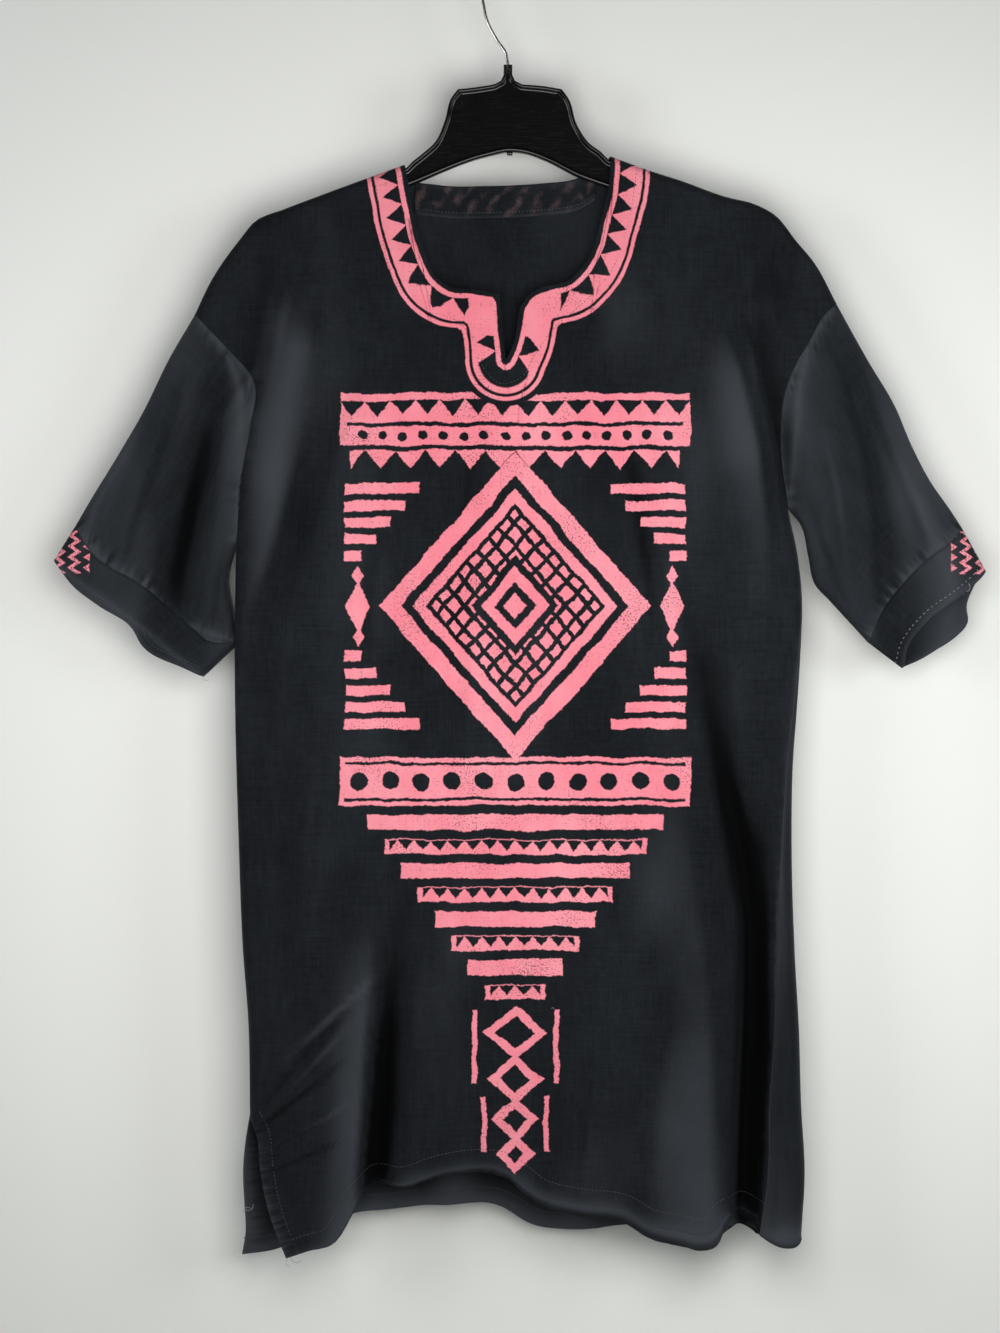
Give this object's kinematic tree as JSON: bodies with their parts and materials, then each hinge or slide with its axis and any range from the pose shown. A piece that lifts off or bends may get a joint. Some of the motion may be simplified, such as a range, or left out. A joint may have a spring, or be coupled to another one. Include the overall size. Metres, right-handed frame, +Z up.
{
  "type": "tunic on a hanger",
  "caption": "Short-sleeved black cotton tunic with a slit neck and side vents, printed in pink on the front, on a moulded hanger.",
  "frame": {"origin": "inside of the hook's top, where a rail or nail holds the hanger", "axes": "+Z up, +Y towards the back of the garment, +X to the right of someone who faces its front"},
  "size_m": [0.782, 0.0509, 1.0826],
  "materials": {
    "black_cloth": "matt plain weave",
    "printed_cloth": "matt plain weave, printed",
    "hanger_plastic": "glossy",
    "hook_steel": "bright plated wire"
  },
  "bodies": {
    "root": {"front_panel": "printed_cloth", "back_panel": "black_cloth", "left_sleeve": "black_cloth", "right_sleeve": "black_cloth", "left_cuff_band": "printed_cloth", "right_cuff_band": "printed_cloth", "back_neck_facing": "printed_cloth", "hanger": "hanger_plastic", "hook": "hook_steel"}
  },
  "joints": []
}
